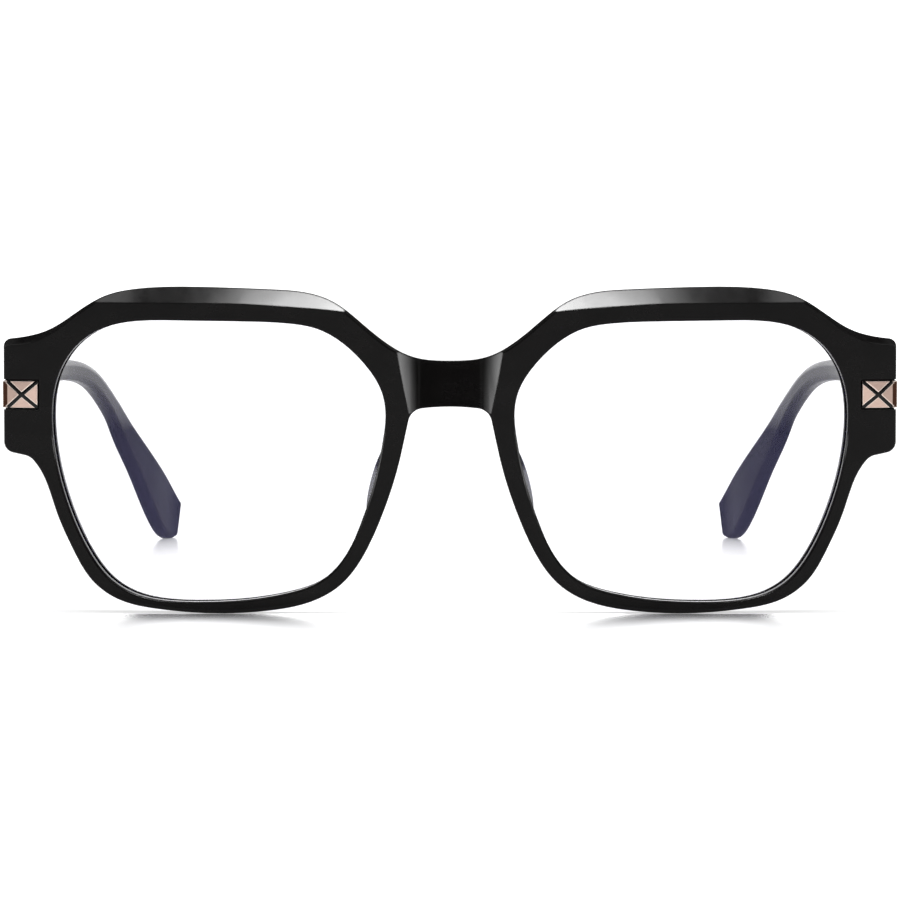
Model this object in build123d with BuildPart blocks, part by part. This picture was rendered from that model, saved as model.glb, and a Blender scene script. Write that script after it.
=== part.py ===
from build123d import *
import os
from math import asin, atan2, cos, degrees, radians, sin, sqrt

# Full-rim eyeglasses standing open on a table. Millimetres, +Z up, z = 0 is the table.
# The front faces -Y, the temples run towards +Y, and +X is the wearer's left.
# Everything is modelled on the wearer's left half and mirrored in the YZ plane.

# ---- Front: one curved plate, 142 mm wide ----
HALF_WIDTH = 71.0
FRONT_RADIUS = 380.0  # face-form curve, a cylinder about a vertical axis
FRONT_THICKNESS = 4.2
FRONT_HEIGHT = 52.0
SLAB_MARGIN = 1.0  # the slab is cut from a block this much larger
FRONT_Y = -73.0  # foremost line of the front, at the bridge
BUTT_DEPTH = 12.0  # rear face of the end-pieces, behind FRONT_Y
BUTT_Y = FRONT_Y + BUTT_DEPTH
LUG_INNER_X = 64.9  # where the thick end-piece starts
RIM_BACK_X = 64.3
EDGE_ROUND = 0.5
OPENING_ROUND = 0.3
LUG_TOP_Z = 43.4
LUG_LOW_Z = 25.6
LUG_TOP_ROUND = 1.3
LUG_LOW_ROUND = 1.8
LUG_NECK_ROUND = 2.5

# ---- Lens: 54 x 45 mm box, 19 mm between the lenses ----
LENS_CENTRE_X = 36.9
LENS_CENTRE_Z = 24.2
LENS_RADIUS = 190.0
LENS_THICKNESS = 1.8
LENS_SET_BACK = 0.2  # lens vertex behind the front surface
GROOVE_DEPTH = 0.7
GROOVE_CLEARANCE = 0.05

# ---- Brow facets and bridge ----
FACET_RUN = 1.5  # how far the brow facet leans back
FACET_RISE = 2.4
FACET_CENTRE_X = 42.0
LUG_BEVEL_X = 66.0
LUG_BEVEL_RUN = 1.0
LUG_BEVEL_RISE = 1.2
SCOOP_RADIUS = 16.0
SCOOP_DEPTH_TOP = 2.3
SCOOP_DEPTH_LOW = 1.28
BRIDGE_TOP_Z = 40.6
BRIDGE_LOW_Z = 31.0

BRIDGE_TOP = (0, 40.2)
ARCH_TOP = (0, 32.95)
ARCH_CORNER = (6.2, 32.5)  # corner of the nose gap before it is rounded
ARCH_ROUND = 2.4
FLANK_ROUND = 10.0

# ---- Shield on each end-piece ----
PLATE_X = 68.0
PLATE_Z = 34.6
PLATE_WIDTH = 4.9
PLATE_HEIGHT = 4.2
PLATE_BASE = 0.6
FACET_PEAK = 0.55
FACET_TOP = 0.5
RECESS_GAP = 0.3
CROSS_WIDTH = 0.6
CROSS_DEPTH = 0.35
ENAMEL_DROP = 0.12
WRAP_THICKNESS = 0.5
WRAP_PROUD = 0.15
WRAP_LENGTH = 4.0
PIN_RADIUS = 0.6
PIN_SPACING = 2.6
PIN_CLEARANCE = 0.02

# ---- Five-barrel hinge ----
BARREL_RADIUS = 1.6
HINGE_GAP = 0.15
HINGE_Z = 34.6
KNUCKLES = 5
KNUCKLE_HEIGHT = 1.7
KNUCKLE_GAP = 0.06
KNUCKLE_PITCH = KNUCKLE_HEIGHT + KNUCKLE_GAP
LEAF_THICKNESS = 0.9
LEAF_LENGTH = 10.5
FRONT_LEAF_INNER_X = 65.1
FRONT_LEAF_OUTER_X = 69.9
WEB_THICKNESS = 0.9
THREAD_CLEARANCE = 0.01
SCREW_HEAD_ROUND = 0.25
SCREW_RADIUS = 0.65
SCREW_CLEARANCE = 0.05
SCREW_HEAD_RADIUS = 1.15
SCREW_HEAD_HEIGHT = 0.7
SLOT_WIDTH = 0.3
SLOT_DEPTH = 0.35
RIVET_RADIUS = 0.6
RIVET_HEAD_RADIUS = 1.0
RIVET_HEAD_HEIGHT = 0.35
RIVET_HEAD_ROUND = 0.28
RIVET_LENGTH = 2.4
RIVET_OFFSETS = (4.6, 9.2)

# ---- Temple ----
TEMPLE_INNER_X = 67.5
TEMPLE_ROUND = 0.36  # corner radius of a section, as a share of its thickness
WIRE_WIDTH = 0.8
WIRE_HEIGHT = 1.2

# Stations of the temple: distance behind FRONT_Y, x and z of the middle, height, thickness,
# and how far the lower edge is turned outwards, in degrees
TEMPLE_STATIONS = [
    (12.15, 69.25, 34.6, 16.0, 3.5, 0),
    (17.0, 69.25, 34.6, 15.2, 3.5, 0),
    (28.0, 69.25, 34.6, 11.8, 3.45, 0),
    (45.0, 69.2, 34.4, 7.0, 3.4, 0),
    (62.0, 69.15, 34.1, 4.6, 3.2, 0),
    (76.0, 69.0, 34.0, 3.9, 3.0, 0),
    (84.0, 68.3, 33.95, 3.7, 2.8, 0),
    (90.0, 66.9, 33.7, 3.6, 2.7, 0),
    (95.0, 65.4, 33.15, 3.6, 2.7, 0),
    (100.0, 63.8, 31.95, 3.6, 2.7, 0),
    (105.0, 62.2, 29.7, 3.6, 2.7, 1.0),
    (110.0, 60.6, 26.5, 3.8, 2.6, 2.5),
    (117.0, 58.45, 20.9, 5.28, 2.6, 1.0),
    (124.0, 56.42, 15.91, 6.9, 2.6, 2.2),
    (131.0, 54.47, 10.8, 9.15, 2.6, 3.2),
    (137.0, 53.0, 6.85, 10.5, 2.5, 5.6),
    (141.0, 51.95, 4.58, 9.6, 2.4, 7.5),
    (143.9, 50.7, 3.35, 6.9, 2.2, 7.0),
]
TIP_LENGTH = 1.2
TIP_SHARE = 0.62
WIRE_FIRST = 2  # the core wire runs between these stations
WIRE_LAST = 15

# ---- Nose pad ----
PAD_X = 10.25
PAD_Z = 21.0
PAD_SPLAY = 18.0  # leaning out towards the back, degrees
PAD_FLARE = 17.0  # leaning out towards the bottom, degrees
PAD_REACH = 5.3
PAD_LENGTH = 14.0
PAD_THICKNESS = 1.8
PAD_ROUND = 0.7


def front_sag(x):
    """How far the front surface lies behind its foremost line, at a distance x from the middle."""
    return FRONT_RADIUS - sqrt(FRONT_RADIUS**2 - x**2)


def tangent_plane(x, depth=0.0, z=0.0):
    """The plane that touches the front surface at x, facing forward, moved back by depth."""
    turn = asin(x / FRONT_RADIUS)
    forward = Vector(sin(turn), -cos(turn), 0)
    on_surface = Vector(x, FRONT_Y + front_sag(x), z)
    return Plane(origin=on_surface - forward * depth, x_dir=(cos(turn), sin(turn), 0), z_dir=forward)


def mirrored(part):
    """The same piece on the wearer's right."""
    return mirror(part, about=Plane.YZ)


def save(part, name):
    part.label = name
    export_step(part, f"parts/{name}.step")


os.makedirs("parts", exist_ok=True)

LENS_PLANE = tangent_plane(LENS_CENTRE_X)
LENS_MIDDLE = tangent_plane(LENS_CENTRE_X, LENS_SET_BACK + LENS_RADIUS, LENS_CENTRE_Z).origin
HINGE_X = TEMPLE_INNER_X - BARREL_RADIUS - HINGE_GAP
HINGE_Y = BUTT_Y + BARREL_RADIUS + HINGE_GAP
HINGE_LOW_Z = HINGE_Z - (KNUCKLES * KNUCKLE_PITCH - KNUCKLE_GAP) / 2
HINGE_HEIGHT = KNUCKLES * KNUCKLE_PITCH - KNUCKLE_GAP
SHIELD_PLANE = tangent_plane(PLATE_X, z=PLATE_Z)


# ---- Lens outline, in the lens plane: x from the lens centre, y is height ----
LENS_POINTS = [
    (4.2, 46.5),
    (12.9, 46.4),
    (18.6, 45.1),
    (22.6, 42.4),
    (25.0, 39.0),
    (26.3, 35.0),
    (26.6, 30.5),
    (25.9, 24.2),
    (23.6, 16.1),
    (20.4, 9.4),
    (17.1, 5.3),
    (13.4, 3.1),
    (9.1, 2.1),
    (3.1, 1.85),
    (-5.3, 2.35),
    (-11.6, 3.5),
    (-16.0, 5.1),
    (-19.6, 8.3),
    (-22.9, 14.8),
    (-25.0, 21.3),
    (-26.3, 27.7),
    (-26.7, 32.0),
    (-26.0, 35.6),
    (-23.5, 39.6),
    (-19.6, 43.3),
    (-16.0, 45.25),
    (-11.6, 46.1),
    (-3.7, 46.43),
]


def lens_outline(grow):
    """The closed lens outline, every point moved outwards by grow."""
    count = len(LENS_POINTS)
    moved = []
    for index, (x, y) in enumerate(LENS_POINTS):
        before = LENS_POINTS[index - 1]
        after = LENS_POINTS[(index + 1) % count]
        outwards = Vector(before[1] - after[1], after[0] - before[0]).normalized() * grow
        moved.append((x + outwards.X, y + outwards.Y))
    with BuildSketch(LENS_PLANE) as outline:
        with BuildLine():
            Spline(*moved, periodic=True)
        make_face()
    return outline.sketch


def lens_blank(grow, extra):
    """A curved disc with the lens outline grown by grow, extra thicker on each face."""
    with BuildPart() as blank:
        extrude(lens_outline(grow), amount=BUTT_DEPTH, both=True)
        with Locations(LENS_MIDDLE):
            Sphere(LENS_RADIUS + extra, mode=Mode.INTERSECT)
            Sphere(LENS_RADIUS - LENS_THICKNESS - extra, mode=Mode.SUBTRACT)
    return blank.part


lens = lens_blank(GROOVE_DEPTH - GROOVE_CLEARANCE, 0)
save(lens, "lens_left")
save(mirrored(lens), "lens_right")


# ---- Front frame: a curved plate cut to its outline ----
BROW_POINTS = [
    (5.5, 40.75),
    (9.4, 42.65),
    (14.1, 46.35),
    (18.2, 49.45),
    (22.0, 50.85),
    (28.4, 51.5),
    (40.2, 51.85),
    (49.8, 51.5),
    (54.7, 50.4),
    (59.9, 47.3),
    (63.7, 44.95),
    (67.3, 43.85),
    (HALF_WIDTH, LUG_TOP_Z),
]
RIM_POINTS = [
    (66.9, 24.75),
    (65.1, 22.5),
    (62.7, 16.2),
    (60.0, 10.0),
    (57.0, 5.15),
    (53.0, 2.2),
    (46.2, 0.6),
    (39.0, 0.03),
    (28.5, 0.55),
    (22.1, 1.95),
    (17.3, 4.7),
    (14.2, 8.5),
    (11.0, 15.1),
    (8.8, 21.35),
    (7.3, 27.4),
]


def other_side(points):
    """The same points on the wearer's right, in the order that carries the line on."""
    return [(-x, z) for x, z in reversed(points)]


with BuildPart() as blank:
    with BuildSketch(Plane.XY.offset(-SLAB_MARGIN)):
        with BuildLine():
            side_x = HALF_WIDTH + SLAB_MARGIN
            side_y = FRONT_Y + front_sag(side_x)
            back = FRONT_RADIUS - FRONT_THICKNESS
            rim_back_y = FRONT_Y + FRONT_RADIUS - sqrt(back**2 - RIM_BACK_X**2)
            ThreePointArc((-side_x, side_y), (0, FRONT_Y), (side_x, side_y))
            Polyline((side_x, side_y), (side_x, BUTT_Y), (LUG_INNER_X, BUTT_Y), (RIM_BACK_X, rim_back_y))
            back_y = FRONT_Y + FRONT_THICKNESS
            ThreePointArc((RIM_BACK_X, rim_back_y), (0, back_y), (-RIM_BACK_X, rim_back_y))
            Line((-RIM_BACK_X, rim_back_y), (-LUG_INNER_X, BUTT_Y))
            Polyline((-LUG_INNER_X, BUTT_Y), (-side_x, BUTT_Y), (-side_x, side_y))
        make_face()
    extrude(amount=FRONT_HEIGHT + 2 * SLAB_MARGIN)
    with BuildSketch(Plane.XZ.offset(-BUTT_Y)) as outline:
        with BuildLine():
            Spline(*other_side(BROW_POINTS), BRIDGE_TOP, *BROW_POINTS)
            Line((HALF_WIDTH, LUG_TOP_Z), (HALF_WIDTH, LUG_LOW_Z))
            Line((HALF_WIDTH, LUG_LOW_Z), RIM_POINTS[0])
            Spline(*RIM_POINTS)
            Line(RIM_POINTS[-1], ARCH_CORNER)
            ThreePointArc(ARCH_CORNER, ARCH_TOP, (-ARCH_CORNER[0], ARCH_CORNER[1]))
            Line((-ARCH_CORNER[0], ARCH_CORNER[1]), (-RIM_POINTS[-1][0], RIM_POINTS[-1][1]))
            Spline(*other_side(RIM_POINTS))
            Line((-RIM_POINTS[0][0], RIM_POINTS[0][1]), (-HALF_WIDTH, LUG_LOW_Z))
            Line((-HALF_WIDTH, LUG_LOW_Z), (-HALF_WIDTH, LUG_TOP_Z))
        make_face()
        for side in (-1, 1):
            for corner, radius in (
                ((side * HALF_WIDTH, LUG_TOP_Z), LUG_TOP_ROUND),
                ((side * HALF_WIDTH, LUG_LOW_Z), LUG_LOW_ROUND),
                ((side * RIM_POINTS[0][0], RIM_POINTS[0][1]), LUG_NECK_ROUND),
                ((side * RIM_POINTS[-1][0], RIM_POINTS[-1][1]), FLANK_ROUND),
                ((side * ARCH_CORNER[0], ARCH_CORNER[1]), ARCH_ROUND),
            ):
                fillet(outline.vertices().sort_by_distance((*corner, 0))[0], radius)
    extrude(amount=BUTT_DEPTH + SLAB_MARGIN, mode=Mode.INTERSECT)

    front_face = blank.faces().filter_by(GeomType.CYLINDER).sort_by(Axis.Y)[0]
    fillet(front_face.edges(), EDGE_ROUND)
    opening = extrude(lens_outline(0), amount=BUTT_DEPTH, both=True, mode=Mode.PRIVATE)
    add(opening, mode=Mode.SUBTRACT)
    add(mirrored(opening), mode=Mode.SUBTRACT)
    front_face = blank.faces().filter_by(GeomType.CYLINDER).sort_by(Axis.Y)[0]
    for rim in front_face.inner_wires():
        fillet(rim.edges(), OPENING_ROUND)
    groove = lens_blank(GROOVE_DEPTH, GROOVE_CLEARANCE)
    add(groove, mode=Mode.SUBTRACT)
    add(mirrored(groove), mode=Mode.SUBTRACT)

# ---- Brow facet: a band that leans back from the front surface up to the top edge ----
FACET_PLANE = tangent_plane(FACET_CENTRE_X)
# Lower edge of the facet, in the facet plane: x from FACET_CENTRE_X, y is height
FACET_POINTS = [
    (-27.0, 46.2),
    (-24.7, 46.8),
    (-16.5, 48.2),
    (-9.0, 49.05),
    (0, 49.3),
    (10.0, 49.1),
    (16.0, 48.8),
]
with BuildPart() as brow_cut:
    with BuildSketch(FACET_PLANE) as band:
        with BuildLine():
            Spline(*FACET_POINTS)
            nasal_x = FACET_POINTS[0][0]
            outer_x = FACET_POINTS[-1][0]
            above_z = FRONT_HEIGHT + 2 * SLAB_MARGIN
            Polyline(FACET_POINTS[-1], (outer_x, above_z), (nasal_x, above_z), FACET_POINTS[0])
        make_face()
    lean = FACET_PLANE.z_dir * -FACET_RUN + Vector(0, 0, FACET_RISE)
    extrude(amount=2 * FACET_RISE, dir=lean, both=True)

# ---- Lug bevel: the same along the top of the end-piece ----
LUG_PLANE = tangent_plane(LUG_BEVEL_X)
# Lower edge of the bevel: x from the middle of the front, y is height
LUG_BEVEL_POINTS = [
    (57.6, 49.2),
    (60.3, 46.4),
    (62.5, 44.75),
    (64.6, 43.65),
    (66.2, 43.0),
    (68.1, 42.6),
    (70.2, 42.4),
    (72.5, 42.3),
]
with BuildPart() as lug_cut:
    with BuildSketch(LUG_PLANE):
        with BuildLine():
            shorten = cos(asin(LUG_BEVEL_X / FRONT_RADIUS))
            line = [((x - LUG_BEVEL_X) / shorten, z) for x, z in LUG_BEVEL_POINTS]
            Spline(*line)
            Polyline(line[-1], (line[-1][0], FRONT_HEIGHT), (line[0][0], FRONT_HEIGHT), line[0])
        make_face()
    lug_lean = LUG_PLANE.z_dir * -LUG_BEVEL_RUN + Vector(0, 0, LUG_BEVEL_RISE)
    extrude(amount=2 * FACET_RISE, dir=lug_lean, both=True)

# ---- Bridge scoop: a leaning cylinder in front of the bridge ----
scoop_fall = SCOOP_DEPTH_TOP - SCOOP_DEPTH_LOW
scoop_rise = BRIDGE_TOP_Z - BRIDGE_LOW_Z
SCOOP_PLANE = Plane(
    origin=(0, FRONT_Y + SCOOP_DEPTH_LOW - SCOOP_RADIUS, BRIDGE_LOW_Z),
    x_dir=(1, 0, 0),
    z_dir=(0, scoop_fall, scoop_rise),
)
with BuildPart() as scoop:
    with BuildSketch(SCOOP_PLANE):
        Circle(SCOOP_RADIUS)
    extrude(amount=2 * scoop_rise, both=True)

# ---- Shield on the end-piece: four raised facets, a wrapped side and two pins ----
WRAP_X = HALF_WIDTH + WRAP_PROUD
WRAP_REACH = (WRAP_X - PLATE_X) / cos(asin(PLATE_X / FRONT_RADIUS))
SHIELD_FRONT_Y = SHIELD_PLANE.origin.Y
PIN_POINTS = [(PLATE_X, PLATE_Z - PIN_SPACING / 2), (PLATE_X, PLATE_Z + PIN_SPACING / 2)]


def shield_body(gap):
    """Front plate and side wrap, larger by gap all round, without the facets."""
    left = -PLATE_WIDTH / 2 - gap
    with BuildPart() as body:
        with BuildSketch(SHIELD_PLANE):
            with Locations(((left + WRAP_REACH + gap) / 2, 0)):
                Rectangle(WRAP_REACH + gap - left, PLATE_HEIGHT + 2 * gap)
        extrude(amount=-PLATE_BASE - gap)
        wrap_back = SHIELD_FRONT_Y + WRAP_LENGTH + gap
        with BuildSketch(Plane.XY.offset(PLATE_Z - PLATE_HEIGHT / 2 - gap)):
            with BuildLine():
                Polyline(
                    (WRAP_X + gap, SHIELD_FRONT_Y),
                    (WRAP_X + gap, wrap_back),
                    (WRAP_X - WRAP_THICKNESS - gap, wrap_back),
                    (WRAP_X - WRAP_THICKNESS - gap, SHIELD_FRONT_Y),
                    close=True,
                )
            make_face()
        extrude(amount=PLATE_HEIGHT + 2 * gap)
        split(bisect_by=SHIELD_PLANE, keep=Keep.BOTTOM)
    return body.part


def facets(drop):
    """The low pyramid over the front plate, lowered by drop."""
    with BuildPart() as pyramid:
        with BuildSketch(SHIELD_PLANE.offset(-drop)):
            Rectangle(PLATE_WIDTH, PLATE_HEIGHT)
        with BuildSketch(SHIELD_PLANE.offset(FACET_PEAK - drop)):
            Rectangle(FACET_TOP, FACET_TOP * PLATE_HEIGHT / PLATE_WIDTH)
        loft()
    return pyramid.part


def cross(depth):
    """Two crossing bars along the diagonals of the plate, from depth below it upwards."""
    slant = degrees(atan2(PLATE_HEIGHT, PLATE_WIDTH))
    diagonal = sqrt(PLATE_WIDTH**2 + PLATE_HEIGHT**2)
    with BuildPart() as bars:
        with BuildSketch(SHIELD_PLANE.offset(-depth)):
            for turn in (-slant, slant):
                Rectangle(diagonal, CROSS_WIDTH, rotation=turn)
        extrude(amount=depth + FACET_PEAK)
    return bars.part


with BuildPart() as corner_plate:
    add(shield_body(0))
    add(facets(0))
    with BuildSketch(Plane.XZ.offset(-BUTT_Y)):
        with Locations(*PIN_POINTS):
            Circle(PIN_RADIUS)
    extrude(amount=BUTT_DEPTH - front_sag(PLATE_X) - PLATE_BASE / 2)
    add(cross(CROSS_DEPTH), mode=Mode.SUBTRACT)

with BuildPart() as enamel_limit:
    with BuildSketch(SHIELD_PLANE.offset(-CROSS_DEPTH)):
        Rectangle(PLATE_WIDTH, PLATE_HEIGHT)
    extrude(amount=CROSS_DEPTH - ENAMEL_DROP)
    add(facets(ENAMEL_DROP))

with BuildPart() as corner_enamel:
    add(cross(CROSS_DEPTH))
    add(enamel_limit.part, mode=Mode.INTERSECT)

# ---- Front hinge: a leaf let into the back of the end-piece, with three of the five barrels ----
KNUCKLE_FLOORS = [HINGE_LOW_Z + index * KNUCKLE_PITCH for index in range(KNUCKLES)]


def barrels(floors, web_size, web_middle):
    """Barrels on the hinge axis at these heights, each with a web towards its leaf."""
    with BuildPart() as stack:
        for floor in floors:
            with BuildSketch(Plane.XY.offset(floor)):
                with Locations((HINGE_X, HINGE_Y)):
                    Circle(BARREL_RADIUS)
                with Locations(web_middle):
                    Rectangle(*web_size)
            extrude(amount=KNUCKLE_HEIGHT)
    return stack.part


def box_between(low, high):
    """A plain block between two corners."""
    middle = tuple((a + b) / 2 for a, b in zip(low, high))
    with BuildPart() as block:
        with Locations(middle):
            Box(*[b - a for a, b in zip(low, high)])
    return block.part


HINGE_TOP_Z = HINGE_LOW_Z + HINGE_HEIGHT
FRONT_LEAF_LOW = (FRONT_LEAF_INNER_X, BUTT_Y - LEAF_THICKNESS, HINGE_LOW_Z)
FRONT_LEAF_HIGH = (FRONT_LEAF_OUTER_X, BUTT_Y, HINGE_TOP_Z)
with BuildPart() as front_hinge:
    add(box_between(FRONT_LEAF_LOW, FRONT_LEAF_HIGH))
    reach = HINGE_Y - BUTT_Y + LEAF_THICKNESS / 2
    web_middle = (HINGE_X, HINGE_Y - reach / 2)
    add(barrels(KNUCKLE_FLOORS[0::2], (2 * (HINGE_X - FRONT_LEAF_INNER_X), reach), web_middle))
    with BuildSketch(Plane.XY.offset(HINGE_LOW_Z + KNUCKLE_HEIGHT)):
        with Locations((HINGE_X, HINGE_Y)):
            Circle(SCREW_RADIUS + SCREW_CLEARANCE)
    extrude(amount=HINGE_HEIGHT, mode=Mode.SUBTRACT)
    with BuildSketch(Plane.XY.offset(HINGE_LOW_Z)):
        with Locations((HINGE_X, HINGE_Y)):
            Circle(SCREW_RADIUS + THREAD_CLEARANCE)
    extrude(amount=KNUCKLE_HEIGHT, mode=Mode.SUBTRACT)
    with BuildSketch(Plane.XZ.offset(-BUTT_Y)):
        with Locations(*PIN_POINTS):
            Circle(PIN_RADIUS + PIN_CLEARANCE)
    extrude(amount=LEAF_THICKNESS, mode=Mode.SUBTRACT)

with BuildPart() as hinge_screw:
    with BuildSketch(Plane.XY.offset(HINGE_LOW_Z)):
        with Locations((HINGE_X, HINGE_Y)):
            Circle(SCREW_RADIUS)
    extrude(amount=HINGE_HEIGHT)
    with BuildSketch(Plane.XY.offset(HINGE_TOP_Z)):
        with Locations((HINGE_X, HINGE_Y)):
            Circle(SCREW_HEAD_RADIUS)
    extrude(amount=SCREW_HEAD_HEIGHT)
    fillet(hinge_screw.edges().group_by(Axis.Z)[-1], SCREW_HEAD_ROUND)
    with BuildSketch(Plane.XY.offset(HINGE_TOP_Z + SCREW_HEAD_HEIGHT)):
        with Locations((HINGE_X, HINGE_Y)):
            Rectangle(2 * SCREW_HEAD_RADIUS, SLOT_WIDTH)
    extrude(amount=-SLOT_DEPTH, mode=Mode.SUBTRACT)

# ---- Temple hinge: a leaf let into the inner face of the temple, with the other two barrels ----
TEMPLE_LEAF_LOW = (TEMPLE_INNER_X, HINGE_Y + BARREL_RADIUS, KNUCKLE_FLOORS[1])
TEMPLE_LEAF_HIGH = (
    TEMPLE_INNER_X + LEAF_THICKNESS,
    HINGE_Y + LEAF_LENGTH,
    KNUCKLE_FLOORS[3] + KNUCKLE_HEIGHT,
)
RIVET_POINTS = [(HINGE_Y + offset, HINGE_Z) for offset in RIVET_OFFSETS]
with BuildPart() as temple_hinge:
    add(box_between(TEMPLE_LEAF_LOW, TEMPLE_LEAF_HIGH))
    web_size = (TEMPLE_INNER_X - HINGE_X, BARREL_RADIUS)
    web_middle = (HINGE_X + web_size[0] / 2, HINGE_Y + BARREL_RADIUS / 2)
    add(barrels(KNUCKLE_FLOORS[1::2], web_size, web_middle))
    foot_front = HINGE_Y + BARREL_RADIUS - WEB_THICKNESS
    foot_back = HINGE_Y + BARREL_RADIUS + WEB_THICKNESS
    for floor in KNUCKLE_FLOORS[1::2]:
        add(box_between((HINGE_X, foot_front, floor), (TEMPLE_INNER_X, foot_back, floor + KNUCKLE_HEIGHT)))
    with BuildSketch(Plane.XY.offset(HINGE_LOW_Z)):
        with Locations((HINGE_X, HINGE_Y)):
            Circle(SCREW_RADIUS + SCREW_CLEARANCE)
    extrude(amount=HINGE_HEIGHT, mode=Mode.SUBTRACT)
    with BuildSketch(Plane.YZ.offset(TEMPLE_INNER_X)):
        with Locations(*RIVET_POINTS):
            Circle(RIVET_RADIUS)
    extrude(amount=LEAF_THICKNESS, mode=Mode.SUBTRACT)

with BuildPart() as temple_rivets:
    with BuildSketch(Plane.YZ.offset(TEMPLE_INNER_X)):
        with Locations(*RIVET_POINTS):
            Circle(RIVET_RADIUS)
    extrude(amount=RIVET_LENGTH)
    with BuildSketch(Plane.YZ.offset(TEMPLE_INNER_X)):
        with Locations(*RIVET_POINTS):
            Circle(RIVET_HEAD_RADIUS)
    extrude(amount=-RIVET_HEAD_HEIGHT)
    heads = temple_rivets.edges().group_by(Axis.X)[0]
    fillet(heads, RIVET_HEAD_ROUND)

# ---- Temple: a loft through its stations, with the core wire inside ----
POINTS = [Vector(x, FRONT_Y + y, z) for y, x, z, *section in TEMPLE_STATIONS]


def station_plane(index):
    """The plane square to the temple's run at this station."""
    ahead = POINTS[min(index + 1, len(POINTS) - 1)]
    behind = POINTS[max(index - 1, 0)]
    run = (ahead - behind).normalized()
    square = Plane(origin=POINTS[index], x_dir=run.cross(Vector(0, 0, 1)), z_dir=run)
    return square.rotated((0, 0, -TEMPLE_STATIONS[index][5]))


with BuildPart() as wire:
    for index in range(WIRE_FIRST, WIRE_LAST + 1):
        with BuildSketch(station_plane(index)):
            Rectangle(WIRE_WIDTH, WIRE_HEIGHT)
    loft(ruled=True)

with BuildPart() as temple:
    for index, (y, x, z, height, thickness, roll) in enumerate(TEMPLE_STATIONS):
        with BuildSketch(station_plane(index)):
            RectangleRounded(thickness, height, thickness * TEMPLE_ROUND)
    loft()
    end_plane = station_plane(len(POINTS) - 1)
    for plane, share in ((end_plane, 1.0), (end_plane.offset(TIP_LENGTH), TIP_SHARE)):
        with BuildSketch(plane):
            tip_thickness = TEMPLE_STATIONS[-1][4] * share
            RectangleRounded(tip_thickness, TEMPLE_STATIONS[-1][3] * share, tip_thickness * TEMPLE_ROUND)
    loft(ruled=True)
    for insert in (temple_hinge.part, temple_rivets.part, wire.part):
        add(insert, mode=Mode.SUBTRACT)

# ---- Nose pad: a thin rounded fin behind the nasal rim, leaning out as it goes back ----
PAD_BACK = Vector(sin(radians(PAD_SPLAY)), cos(radians(PAD_SPLAY)), 0)
PAD_FALL = Vector(sin(radians(PAD_FLARE)), 0, -cos(radians(PAD_FLARE)))
PAD_PLANE = Plane(
    origin=(PAD_X, FRONT_Y + FRONT_THICKNESS, PAD_Z), x_dir=PAD_BACK, z_dir=PAD_BACK.cross(PAD_FALL)
)
with BuildPart() as nose_pad:
    with BuildSketch(PAD_PLANE):
        Ellipse(PAD_REACH, PAD_LENGTH / 2)
    extrude(amount=PAD_THICKNESS / 2, both=True)
    fillet(nose_pad.edges(), PAD_ROUND)
    with Locations((0, FRONT_Y + FRONT_RADIUS, 0)):
        Cylinder(FRONT_RADIUS - FRONT_THICKNESS, 3 * FRONT_HEIGHT, mode=Mode.INTERSECT)

# ---- The whole front: both halves, cut for the facets, the scoop, the shields and the hinges ----
with BuildPart() as shield_cuts:
    add(shield_body(RECESS_GAP))
    with BuildSketch(SHIELD_PLANE):
        with Locations(((WRAP_REACH - PLATE_WIDTH / 2) / 2, 0)):
            Rectangle(WRAP_REACH + PLATE_WIDTH / 2 + 2 * RECESS_GAP, PLATE_HEIGHT + 2 * RECESS_GAP)
    extrude(amount=PLATE_BASE)
    with BuildSketch(Plane.XZ.offset(-BUTT_Y)):
        with Locations(*PIN_POINTS):
            Circle(PIN_RADIUS + PIN_CLEARANCE)
    extrude(amount=BUTT_DEPTH)
    add(box_between(FRONT_LEAF_LOW, FRONT_LEAF_HIGH))

with BuildPart() as front:
    add(blank.part)
    for cut in (brow_cut.part, lug_cut.part, shield_cuts.part):
        add(cut, mode=Mode.SUBTRACT)
        add(mirrored(cut), mode=Mode.SUBTRACT)
    add(scoop.part, mode=Mode.SUBTRACT)
save(front.part, "front_frame")

pairs = {
    "corner_plate": corner_plate,
    "corner_enamel": corner_enamel,
    "front_hinge": front_hinge,
    "hinge_screw": hinge_screw,
    "temple_hinge": temple_hinge,
    "temple_rivets": temple_rivets,
    "core_wire": wire,
    "temple": temple,
    "nose_pad": nose_pad,
}
for name, piece in pairs.items():
    save(piece.part, name + "_left")
    save(mirrored(piece.part), name + "_right")
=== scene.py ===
from math import radians

import bpy
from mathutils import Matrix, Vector

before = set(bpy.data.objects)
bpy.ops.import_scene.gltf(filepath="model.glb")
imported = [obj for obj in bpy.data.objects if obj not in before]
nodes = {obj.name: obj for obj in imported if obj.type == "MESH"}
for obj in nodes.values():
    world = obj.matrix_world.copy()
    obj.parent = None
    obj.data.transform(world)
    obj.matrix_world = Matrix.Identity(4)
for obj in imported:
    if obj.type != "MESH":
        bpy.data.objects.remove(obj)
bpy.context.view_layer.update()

scene = bpy.context.scene

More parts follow.
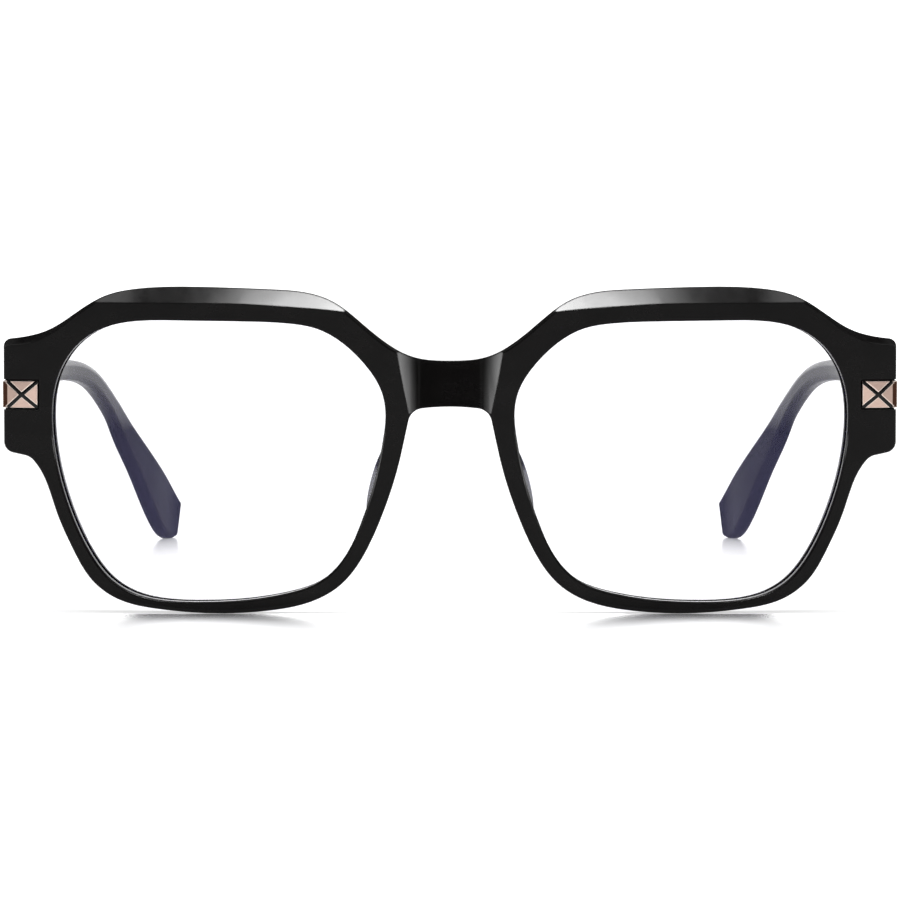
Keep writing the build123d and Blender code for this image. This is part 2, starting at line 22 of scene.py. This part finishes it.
# ---- Sizes and places, in metres ----
FRONT_EDGE = 0.00035  # how far each edge is rounded in the shading
TEMPLE_EDGE = 0.0004
PLATE_EDGE = 0.00026
WRAP_X = 0.07035  # the shields turn round the end-piece beyond this
WRAP_BLEND = 0.0001
TEMPLE_SHINE_LOW = 0.0215  # heights between which the temples gain their shine
TEMPLE_SHINE_HIGH = 0.0355
FLOOR_SIZE = 6.0
FRONT_FOOT = -0.0715  # where the front and the temple tips stand, along Y
TIP_FOOT = 0.0715
FOOT_BLEND = 0.001
AIM = (0, -0.07, 0.05)  # the upper part of the front
SIDE_BOX_X = 0.50
CAMERA_PLACE = (0, -0.973, 0.09034)
CAMERA_TILT = 4.077  # degrees down
CAMERA_LENS = 228.4  # millimetres, on a sensor 36 wide

WHITE = (1, 1, 1)
# painted highlight: a light gold painted along the edges of the shield facets
PAINTED_EDGE_HIGHLIGHT = (1.0, 0.86, 0.77)
# painted shade: the dark brown painted on the part of the shields that turns round the end-piece
WRAP_PAINTED_SHADE = (0.05, 0.022, 0.014)


# ---- Node helpers ----
def material(name):
    """An empty node material: (material, nodes, links, output)."""
    m = bpy.data.materials.new(name)
    m.use_nodes = True
    tree = m.node_tree
    tree.nodes.clear()
    out = tree.nodes.new("ShaderNodeOutputMaterial")
    return m, tree.nodes, tree.links, out


def combine(ns, ls, operation, first, second=None):
    """One step of maths on a value and, if given, a second value or a number."""
    step = ns.new("ShaderNodeMath")
    step.operation = operation
    ls.new(first, step.inputs[0])
    if isinstance(second, float):
        step.inputs[1].default_value = second
    elif second is not None:
        ls.new(second, step.inputs[1])
    return step.outputs["Value"]


def along(ns, ls, axis, kind="Object"):
    """The place along one axis, or with kind the normal's share of it."""
    coord = ns.new("ShaderNodeTexCoord")
    split = ns.new("ShaderNodeSeparateXYZ")
    ls.new(coord.outputs[kind], split.inputs["Vector"])
    return split.outputs[axis]


def spread(ns, ls, fac, low, high, start=0.3, end=0.7, smooth=False):
    """fac from start..end mapped to low..high."""
    r = ns.new("ShaderNodeMapRange")
    if smooth:
        r.interpolation_type = "SMOOTHSTEP"
    r.inputs["From Min"].default_value = start
    r.inputs["From Max"].default_value = end
    r.inputs["To Min"].default_value = low
    r.inputs["To Max"].default_value = high
    ls.new(fac, r.inputs["Value"])
    return r.outputs["Result"]


def noise(ns, ls, scale, detail=4.0, stretch=(1.0, 1.0, 1.0), rough=0.55):
    """A noise factor in object space, stretched along the axes."""
    coord = ns.new("ShaderNodeTexCoord")
    mapping = ns.new("ShaderNodeMapping")
    mapping.inputs["Scale"].default_value = stretch
    tex = ns.new("ShaderNodeTexNoise")
    tex.inputs["Scale"].default_value = scale
    tex.inputs["Detail"].default_value = detail
    tex.inputs["Roughness"].default_value = rough
    ls.new(coord.outputs["Object"], mapping.inputs["Vector"])
    ls.new(mapping.outputs["Vector"], tex.inputs["Vector"])
    return tex.outputs["Fac"]


def two_tone(ns, ls, fac, first, second, start=0.3, end=0.7):
    """A colour that goes from first to second as fac goes from start to end."""
    ramp = ns.new("ShaderNodeValToRGB")
    for element, position, color in zip(ramp.color_ramp.elements, (start, end), (first, second)):
        element.position = position
        element.color = (*color, 1)
    ls.new(fac, ramp.inputs["Fac"])
    return ramp.outputs["Color"]


def tinted(ns, ls, mask, base, color):
    """base, turned to color where mask is 1."""
    mix = ns.new("ShaderNodeMix")
    mix.data_type = "RGBA"
    mix.inputs[7].default_value = (*color, 1)
    ls.new(mask, mix.inputs[0])
    ls.new(base, mix.inputs[6])
    return mix.outputs[2]


def rounded(ns, radius, samples):
    """A normal that is rounded over edges by radius."""
    soft = ns.new("ShaderNodeBevel")
    soft.samples = samples
    soft.inputs["Radius"].default_value = radius
    return soft.outputs["Normal"]


def bump(ns, ls, height, distance, strength, edge=0.0):
    """A bump, over edges that are rounded by edge metres in the shading."""
    b = ns.new("ShaderNodeBump")
    if edge:
        ls.new(rounded(ns, edge, 6), b.inputs["Normal"])
    b.inputs["Strength"].default_value = strength
    b.inputs["Distance"].default_value = distance
    ls.new(height, b.inputs["Height"])
    return b.outputs["Normal"]


# ---- Masks ----
def painted_highlight_mask(ns, ls, radius):
    """1 on the edges, within this radius, where a highlight is painted, 0 on the faces between them."""
    true = ns.new("ShaderNodeNewGeometry")
    dot = ns.new("ShaderNodeVectorMath")
    dot.operation = "DOT_PRODUCT"
    ls.new(rounded(ns, radius, 8), dot.inputs[0])
    ls.new(true.outputs["True Normal"], dot.inputs[1])
    return spread(ns, ls, dot.outputs["Value"], 1.0, 0.0, 0.90, 0.99)


def broad_faces(ns, ls):
    """More shine on the faces that look forwards or back than on the cut walls between them."""
    depth = combine(ns, ls, "ABSOLUTE", along(ns, ls, "Y", "Normal"))
    return spread(ns, ls, depth, 0.008, 0.10, 0.25, 0.60)


def near_ears(ns, ls):
    """More shine up to the ear bend than on the drop behind it."""
    return spread(ns, ls, along(ns, ls, "Z"), 0.006, 0.45, TEMPLE_SHINE_LOW, TEMPLE_SHINE_HIGH)


def on_wrap(ns, ls):
    """1 on the part of a shield that turns round the end-piece, where a shade is painted."""
    out_x = combine(ns, ls, "ABSOLUTE", along(ns, ls, "X"))
    return spread(ns, ls, out_x, 0.0, 1.0, WRAP_X, WRAP_X + WRAP_BLEND)


# ---- Materials ----
def acetate(name, color, light, specular, low, high, edge=0.0, shine=None):
    """Polished acetate: faint colour drift, polish from low to high and a very slight waviness."""
    m, ns, ls, out = material(name)
    p = ns.new("ShaderNodeBsdfPrincipled")
    drift = noise(ns, ls, 160.0, 5.0, (1.0, 1.0, 1.6))
    ls.new(two_tone(ns, ls, drift, color, light, 0.35, 0.68), p.inputs["Base Color"])
    polish = noise(ns, ls, 420.0, 6.0, (1.0, 1.0, 0.35), 0.65)
    ls.new(spread(ns, ls, polish, low, high), p.inputs["Roughness"])
    wave = noise(ns, ls, 130.0, 1.5)
    ls.new(bump(ns, ls, wave, 0.00004, 0.15, edge), p.inputs["Normal"])
    p.inputs["Specular IOR Level"].default_value = specular
    p.inputs["IOR"].default_value = 1.49
    ls.new(p.outputs["BSDF"], out.inputs["Surface"])
    if shine:
        ls.new(shine(ns, ls), p.inputs["Specular IOR Level"])
    return m


def metal(name, color, dark, low, high, grain, scale=900.0, depth=0.00001, edge=0.0, wrap=None):
    """Brushed metal, with its grain stretched along one axis. wrap is the colour of a painted shade round
    the end-piece, and edge rounds the edges in the shading and paints a highlight along them.
    """
    m, ns, ls, out = material(name)
    p = ns.new("ShaderNodeBsdfPrincipled")
    p.inputs["Metallic"].default_value = 1.0
    lines = noise(ns, ls, scale, 5.0, grain, 0.6)
    base = two_tone(ns, ls, lines, dark, color)
    # painted shade: the part round the end-piece is painted dark
    if wrap:
        base = tinted(ns, ls, on_wrap(ns, ls), base, wrap)
    # painted highlight: the edges are painted a light gold
    if edge:
        base = tinted(ns, ls, painted_highlight_mask(ns, ls, edge), base, PAINTED_EDGE_HIGHLIGHT)
    ls.new(base, p.inputs["Base Color"])
    ls.new(spread(ns, ls, lines, high, low), p.inputs["Roughness"])
    ls.new(bump(ns, ls, lines, depth, 0.6, edge), p.inputs["Normal"])
    ls.new(p.outputs["BSDF"], out.inputs["Surface"])
    return m


def coated_lens(name):
    """A clear lens: see-through, with a faint blue-violet coating that strengthens at the edge."""
    m, ns, ls, out = material(name)
    clear = ns.new("ShaderNodeBsdfTransparent")
    clear.inputs["Color"].default_value = (0.985, 0.985, 0.99, 1)
    coat = ns.new("ShaderNodeBsdfGlossy")
    tone = noise(ns, ls, 28.0, 2.0)
    ls.new(two_tone(ns, ls, tone, (0.52, 0.50, 1.0), (0.58, 0.55, 1.0)), coat.inputs["Color"])
    smears = noise(ns, ls, 60.0, 4.0, (1.0, 1.0, 2.0))
    ls.new(spread(ns, ls, smears, 0.16, 0.22), coat.inputs["Roughness"])
    weight = ns.new("ShaderNodeLayerWeight")
    weight.inputs["Blend"].default_value = 0.25
    mix = ns.new("ShaderNodeMixShader")
    ls.new(spread(ns, ls, weight.outputs["Fresnel"], 0.025, 0.5, 0.04, 1.0), mix.inputs["Fac"])
    ls.new(clear.outputs["BSDF"], mix.inputs[1])
    ls.new(coat.outputs["BSDF"], mix.inputs[2])
    ls.new(mix.outputs["Shader"], out.inputs["Surface"])
    return m


front_black = acetate(
    "front_black", color=(0.0020, 0.0019, 0.0019), light=(0.0030, 0.0028, 0.0028),
    specular=0.10, low=0.05, high=0.10, edge=FRONT_EDGE, shine=broad_faces,
)
temple_black = acetate(
    "temple_black", color=(0.0075, 0.0075, 0.0150), light=(0.0100, 0.0098, 0.0190),
    specular=0.12, low=0.26, high=0.34, edge=TEMPLE_EDGE, shine=near_ears,
)
pad_black = acetate(
    "pad_black", color=(0.0024, 0.0024, 0.0028), light=(0.0036, 0.0034, 0.0040),
    specular=0.05, low=0.07, high=0.14,
)
enamel = acetate(
    "enamel", color=(0.0015, 0.0015, 0.0015), light=(0.0030, 0.0028, 0.0026),
    specular=0.25, low=0.10, high=0.22,
)
# the shields' gold has painted shade round the end-piece and painted highlights along its edges
rose_gold = metal(
    "rose_gold", color=(0.62, 0.46, 0.39), dark=(0.50, 0.36, 0.30), low=0.28, high=0.42,
    grain=(1.0, 1.0, 14.0), scale=1200.0, depth=0.000006, edge=PLATE_EDGE, wrap=WRAP_PAINTED_SHADE,
)
hinge_steel = metal(
    "hinge_steel", color=(0.56, 0.56, 0.57), dark=(0.36, 0.36, 0.37), low=0.22, high=0.36,
    grain=(1.0, 1.0, 9.0),
)
wire_steel = metal(
    "wire_steel", color=(0.66, 0.64, 0.60), dark=(0.48, 0.46, 0.43), low=0.25, high=0.40,
    grain=(8.0, 1.0, 8.0),
)

looks = {
    "front_frame": front_black,
    "lens": coated_lens("lens_clear"),
    "nose_pad": pad_black,
    "corner_plate": rose_gold,
    "corner_enamel": enamel,
    "front_hinge": hinge_steel,
    "hinge_screw": hinge_steel,
    "temple_hinge": hinge_steel,
    "temple_rivets": hinge_steel,
    "core_wire": wire_steel,
    "temple": temple_black,
}
for name, obj in nodes.items():
    key = name.replace("_left", "").replace("_right", "")
    obj.data.materials.clear()
    obj.data.materials.append(looks[key])


# ---- Floor: white, with a faint glow, polished just in front of the feet ----
def foot_gloss(ns, ls, place, foot, reach, gloss):
    """Gloss that rises over reach up to a foot and stops behind it."""
    rise = spread(ns, ls, place, 0.0, gloss, foot - reach, foot)
    stop = spread(ns, ls, place, 1.0, 0.0, foot, foot + FOOT_BLEND)
    return combine(ns, ls, "MULTIPLY", rise, stop)


def floor_white(name):
    """Matt white with a glow that grows far behind the object, and gloss that shows only at a low view."""
    m, ns, ls, out = material(name)
    color = two_tone(ns, ls, noise(ns, ls, 3.0, 3.0), (0.84, 0.84, 0.84), (0.88, 0.88, 0.88), 0.0, 1.0)
    place = along(ns, ls, "Y")
    matt = ns.new("ShaderNodeBsdfDiffuse")
    ls.new(color, matt.inputs["Color"])
    glow = ns.new("ShaderNodeEmission")
    ls.new(color, glow.inputs["Color"])
    ls.new(spread(ns, ls, place, 0.68, 1.35, 0.4, 1.4), glow.inputs["Strength"])
    ground = ns.new("ShaderNodeAddShader")
    ls.new(matt.outputs["BSDF"], ground.inputs[0])
    ls.new(glow.outputs["Emission"], ground.inputs[1])
    polished = ns.new("ShaderNodeBsdfGlossy")
    polished.inputs["Roughness"].default_value = 0.20
    front_gloss = foot_gloss(ns, ls, place, FRONT_FOOT, 0.036, 0.90)
    tip_gloss = foot_gloss(ns, ls, place, TIP_FOOT, 0.050, 0.60)
    slant = ns.new("ShaderNodeLayerWeight")
    low_view = spread(ns, ls, slant.outputs["Facing"], 0.0, 1.0, 0.80, 0.89)
    blend = ns.new("ShaderNodeMixShader")
    gloss = combine(ns, ls, "ADD", front_gloss, tip_gloss)
    ls.new(combine(ns, ls, "MULTIPLY", gloss, low_view), blend.inputs["Fac"])
    ls.new(ground.outputs["Shader"], blend.inputs[1])
    ls.new(polished.outputs["BSDF"], blend.inputs[2])
    ls.new(blend.outputs["Shader"], out.inputs["Surface"])
    return m


bpy.ops.mesh.primitive_plane_add(size=FLOOR_SIZE, location=(0, 0, 0))
floor = bpy.context.object
floor.name = "floor"
floor.data.materials.append(floor_white("floor_white"))


# ---- Lights ----
def card_glow(name, strength, soft):
    """A glow of this strength that fades over the card's outer share soft."""
    m, ns, ls, out = material(name)
    fades = []
    for axis in ("X", "Y"):
        side = combine(ns, ls, "ABSOLUTE", along(ns, ls, axis))
        fades.append(spread(ns, ls, side, 0.0, 1.0, 0.5, 0.5 * (1.0 - soft), smooth=True))
    share = combine(ns, ls, "MULTIPLY", *fades)
    emit = ns.new("ShaderNodeEmission")
    ls.new(combine(ns, ls, "MULTIPLY", share, strength), emit.inputs["Strength"])
    ls.new(emit.outputs["Emission"], out.inputs["Surface"])
    return m


def softbox(name, place, aim, width, height, strength, soft, lights=()):
    """A glowing card at place, facing aim, that the camera doesn't see. It lights these objects, or all."""
    bpy.ops.mesh.primitive_plane_add(size=1.0, location=place)
    card = bpy.context.object
    card.name = name
    card.scale = (width, height, 1)
    card.rotation_euler = (Vector(aim) - Vector(place)).to_track_quat("Z", "Y").to_euler()
    card.data.materials.append(card_glow(name + "_glow", strength, soft))
    card.visible_camera = False
    card.visible_shadow = False
    if lights:
        group = bpy.data.collections.new(name + "_lights")
        for obj in lights:
            group.objects.link(obj)
        card.light_linking.receiver_collection = group


front_only = [nodes["front_frame"]]
dark_parts = front_only + [nodes["nose_pad_left"], nodes["nose_pad_right"]]
plates = [nodes["corner_plate_left"], nodes["corner_plate_right"]]
softbox("brow_box", (0, -0.83, 1.33), AIM, 0.86, 0.22, strength=155.0, soft=1.0, lights=dark_parts)
softbox("brow_wash", (0, -0.85, 1.36), AIM, 2.60, 0.40, strength=10.0, soft=0.5, lights=dark_parts)
softbox("plate_box", (0, -1.30, 0.45), (0, -0.07, 0.035), 1.8, 0.7, strength=2.4, soft=0.4, lights=plates)
softbox("over_box", (0, 0.10, 1.60), (0, 0, 0), 1.6, 1.4, strength=3.4, soft=0.5)
for name, side in (("right_box", -1), ("left_box", 1)):
    place = (side * SIDE_BOX_X, -0.40, 0.085)
    softbox(name, place, (0, -0.07, 0.036), 0.44, 0.090, strength=45.0, soft=1.0, lights=front_only)


# ---- World: white to the camera, and otherwise bright low down and behind the object ----
def background(ws, strength=1.0):
    """A white background."""
    white = ws.new("ShaderNodeBackground")
    white.inputs["Color"].default_value = (*WHITE, 1)
    white.inputs["Strength"].default_value = strength
    return white


world = bpy.data.worlds.new("studio")
scene.world = world
world.use_nodes = True
ws, wl = world.node_tree.nodes, world.node_tree.links
ws.clear()
world_out = ws.new("ShaderNodeOutputWorld")
seen = background(ws, 1.25)
lit = background(ws)
fade = spread(ws, wl, along(ws, wl, "Z", "Generated"), 1.0, 0.18, 0.12, 0.60, smooth=True)
behind = spread(ws, wl, along(ws, wl, "Y", "Generated"), 1.0, 2.7, 0.3, 0.9, smooth=True)
wl.new(combine(ws, wl, "MULTIPLY", fade, behind), lit.inputs["Strength"])
path = ws.new("ShaderNodeLightPath")
pick = ws.new("ShaderNodeMixShader")
wl.new(path.outputs["Is Camera Ray"], pick.inputs["Fac"])
wl.new(lit.outputs["Background"], pick.inputs[1])
wl.new(seen.outputs["Background"], pick.inputs[2])
wl.new(pick.outputs["Shader"], world_out.inputs["Surface"])

# ---- Camera ----
cam = bpy.data.cameras.new("camera")
camera = bpy.data.objects.new("camera", cam)
scene.collection.objects.link(camera)
camera.location = CAMERA_PLACE
camera.rotation_euler = (radians(90 - CAMERA_TILT), 0, 0)
cam.sensor_width = 36.0
cam.lens = CAMERA_LENS
cam.clip_start = 0.01
cam.clip_end = 50.0
scene.camera = camera
scene.view_settings.view_transform = "Standard"
scene.view_settings.look = "None"
